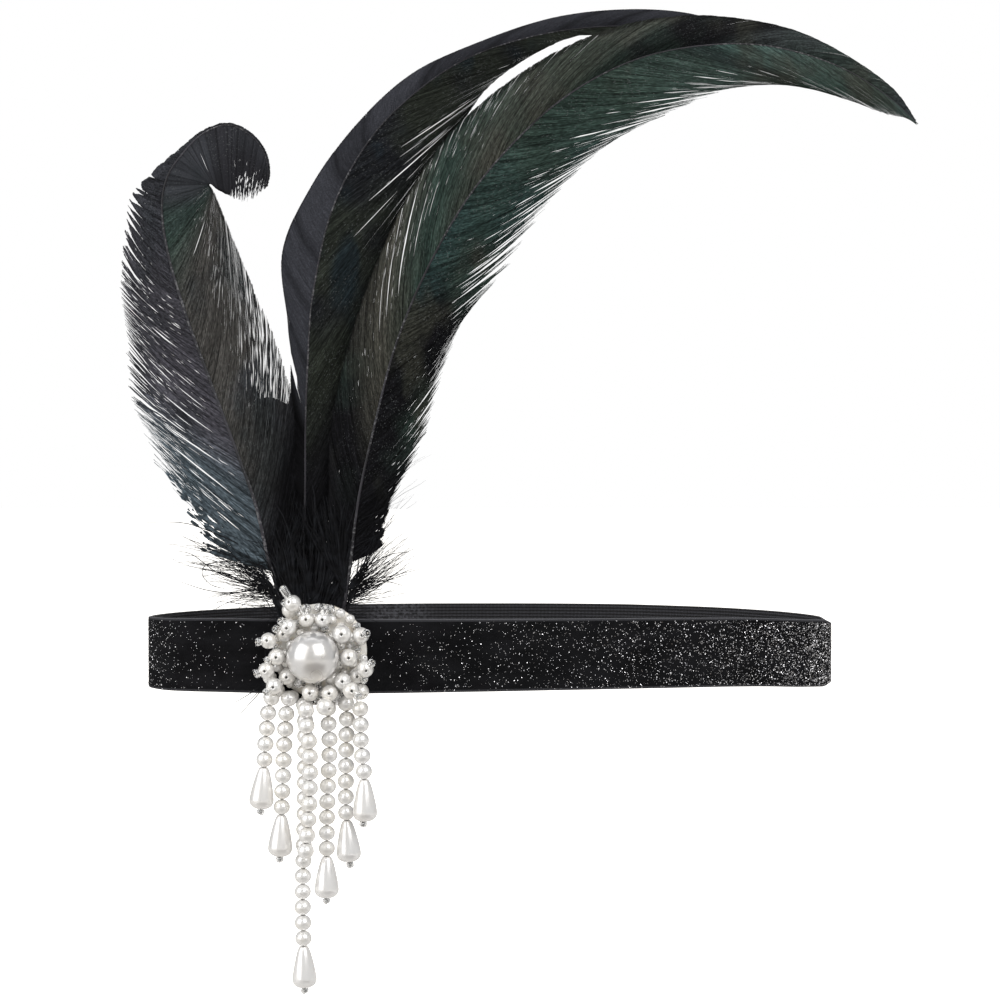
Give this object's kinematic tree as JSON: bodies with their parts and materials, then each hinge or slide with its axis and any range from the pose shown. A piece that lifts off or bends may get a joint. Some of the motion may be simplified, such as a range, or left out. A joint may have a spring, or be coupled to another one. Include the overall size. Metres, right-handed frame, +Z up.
{
  "type": "flapper feather headband",
  "caption": "Black glitter velvet stretch headband with a pearl brooch, hanging pearl strings and curved dark cockerel feathers.",
  "frame": {"origin": "middle of the loop, half way up the band, where a head carries it", "axes": "+X along the band towards the feathers' tips, +Y from the brooch to the back, +Z up"},
  "size_m": [0.2666, 0.096, 0.3265],
  "materials": {
    "velvet": "black velvet pile with fine silver glitter",
    "dark_feather": "near-black cockerel tail feather with a blue-grey sheen",
    "green_feather": "near-black cockerel tail feather with a green and teal sheen",
    "large_pearl": "pearlescent white",
    "small_pearl": "pearlescent white to cream",
    "ivory": "satin ivory"
  },
  "bodies": {
    "root": {"band": "velvet", "brooch_base": "ivory", "centre_pearl": "large_pearl", "stalk_pearl_01": "small_pearl", "stalk_pearl_02": "small_pearl", "stalk_pearl_03": "small_pearl", "stalk_pearl_04": "small_pearl", "stalk_pearl_05": "small_pearl", "stalk_pearl_06": "small_pearl", "stalk_pearl_07": "small_pearl", "stalk_pearl_08": "small_pearl", "stalk_pearl_09": "small_pearl", "stalk_pearl_10": "small_pearl", "stalk_pearl_11": "small_pearl", "stalk_pearl_12": "small_pearl", "stalk_pearl_13": "small_pearl", "stalk_pearl_14": "small_pearl", "stalk_pearl_15": "small_pearl", "stalk_pearl_16": "small_pearl", "stalk_pearl_17": "small_pearl", "stalk_pearl_18": "small_pearl", "stalk_pearl_19": "small_pearl", "stalk_pearl_20": "small_pearl", "stalk_pearl_21": "small_pearl", "strand_1": "small_pearl", "strand_2": "small_pearl", "strand_3": "small_pearl", "strand_4": "small_pearl", "strand_5": "small_pearl", "strand_6": "small_pearl", "strand_7": "small_pearl", "feather_left": "dark_feather", "feather_middle": "dark_feather", "feather_right": "green_feather"}
  },
  "joints": []
}
